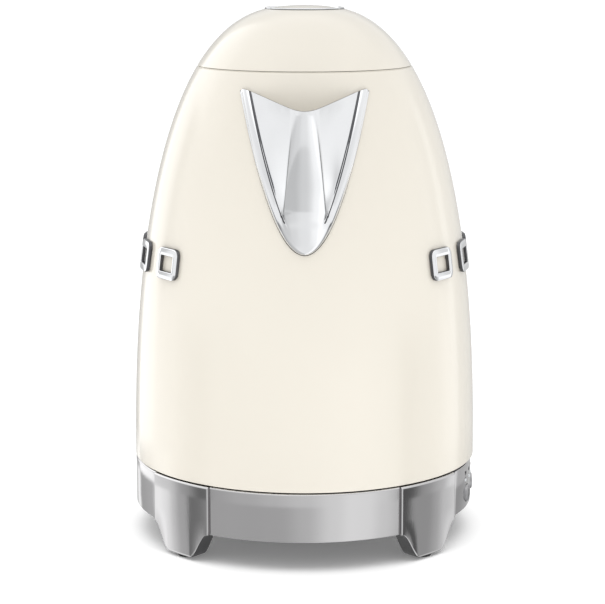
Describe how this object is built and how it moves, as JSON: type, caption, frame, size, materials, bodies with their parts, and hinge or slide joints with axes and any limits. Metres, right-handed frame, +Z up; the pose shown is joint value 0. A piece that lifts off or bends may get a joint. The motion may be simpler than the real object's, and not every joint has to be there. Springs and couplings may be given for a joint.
{
  "type": "electric kettle",
  "caption": "Cordless electric kettle: domed enamelled jug with chrome V spout, D handle and hinged lid with release button, on a footed swivel power base with control panel.",
  "frame": {"origin": "centre of the footprint, on the surface the feet stand on", "axes": "+Z up, -Y towards the spout, +Y towards the handle, +X towards the control panel; the jug's axis is 27.6 mm towards -Y"},
  "size_m": [0.171, 0.226, 0.262],
  "materials": {
    "enamel": "smooth high-gloss cream enamel on steel",
    "cream_plastic": "glossy cream moulded plastic",
    "chrome": "polished chrome plating",
    "brushed_steel": "satin stainless steel",
    "steel": "plain stainless steel",
    "grey_plastic": "fine-grained grey plastic",
    "dark_plastic": "fine-grained black plastic",
    "silicone": "matte translucent silicone",
    "rubber": "matte black rubber",
    "brass": "bright brass",
    "circuit_board": "green solder mask",
    "light_guide": "milky light-guide plastic",
    "clear_plastic": "clear glossy plastic"
  },
  "bodies": {
    "base": {"base_skirt": "brushed_steel", "control_panel": "brushed_steel", "light_guide": "light_guide", "control_board": "circuit_board", "relay_module": "dark_plastic", "base_deck": "dark_plastic", "base_bottom": "dark_plastic", "base_connector": "dark_plastic", "contact_ring_outer": "brass", "contact_pin": "brass", "cord_outlet": "rubber", "foot_pad_1": "rubber", "foot_pad_2": "rubber", "foot_pad_3": "rubber", "foot_pad_4": "rubber", "base_screw_1": "steel", "base_screw_2": "steel", "base_screw_3": "steel", "base_screw_4": "steel"},
    "temperature_button": {"temperature_button": "chrome"},
    "start_button": {"start_button": "chrome"},
    "keep_warm_button": {"keep_warm_button": "chrome"},
    "jug_socket": {"jug_socket": "dark_plastic"},
    "jug": {"jug_body": "enamel", "spout": "chrome", "lid_seat": "steel", "heater_plate": "steel", "plate_seal": "silicone", "heating_element": "steel", "thermal_control": "dark_plastic", "temperature_probe": "steel", "jug_bottom": "dark_plastic", "jug_screw_1": "steel", "jug_screw_2": "steel", "jug_screw_3": "steel", "gauge_window": "clear_plastic", "hinge_bracket": "cream_plastic", "hinge_pin": "steel", "hinge_spring": "steel", "handle_shell": "cream_plastic", "handle_grip": "cream_plastic", "badge_right_1": "chrome", "badge_right_2": "chrome", "badge_right_3": "chrome", "badge_right_4": "chrome", "badge_left_1": "chrome", "badge_left_2": "chrome", "badge_left_3": "chrome", "badge_left_4": "chrome"},
    "filter": {"filter_frame": "grey_plastic", "filter_mesh": "steel"},
    "lid": {"lid_shell": "enamel", "lid_liner": "steel", "lid_frame": "grey_plastic", "lid_seal": "silicone", "button_ring": "chrome", "button_spring": "steel"},
    "lid_button": {"lid_button": "enamel"},
    "latch": {"latch": "grey_plastic"}
  },
  "joints": [
    {"name": "jug_lift", "type": "slide", "parent": "base", "child": "jug_socket", "axis": [0, 0, 1], "range_m": [0, 0.06]},
    {"name": "jug_swivel", "type": "hinge", "parent": "jug_socket", "child": "jug", "pos_m": [0, -0.02754, 0.04], "axis": [0, 0, 1], "continuous": true},
    {"name": "lid_hinge", "type": "hinge", "parent": "jug", "child": "lid", "pos_m": [0, 0.03096, 0.2356], "axis": [-1, 0, 0], "range_deg": [0, 70]},
    {"name": "button_press", "type": "slide", "parent": "lid", "child": "lid_button", "axis": [0, 0, -1], "range_m": [0, 0.003], "stiffness_N_per_m": 400, "springref_m": -0.002, "deforming": ["button_spring"]},
    {"name": "latch_slide", "type": "slide", "parent": "lid", "child": "latch", "axis": [0, 1, 0], "range_m": [0, 0.003]},
    {"name": "filter_pull", "type": "slide", "parent": "jug", "child": "filter", "axis": [0, 1, 0], "range_m": [0, 0.025]},
    {"name": "temperature_press", "type": "slide", "parent": "base", "child": "temperature_button", "axis": [-0.9613, 0.2756, 0], "range_m": [0, 0.001], "stiffness_N_per_m": 600, "springref_m": -0.0005},
    {"name": "start_press", "type": "slide", "parent": "base", "child": "start_button", "axis": [-1, 0, 0], "range_m": [0, 0.001], "stiffness_N_per_m": 600, "springref_m": -0.0005},
    {"name": "keep_warm_press", "type": "slide", "parent": "base", "child": "keep_warm_button", "axis": [-0.9613, -0.2756, 0], "range_m": [0, 0.001], "stiffness_N_per_m": 600, "springref_m": -0.0005}
  ],
  "couplings": [
    {"joint": "latch_slide", "follows": "button_press", "ratio": 1}
  ]
}
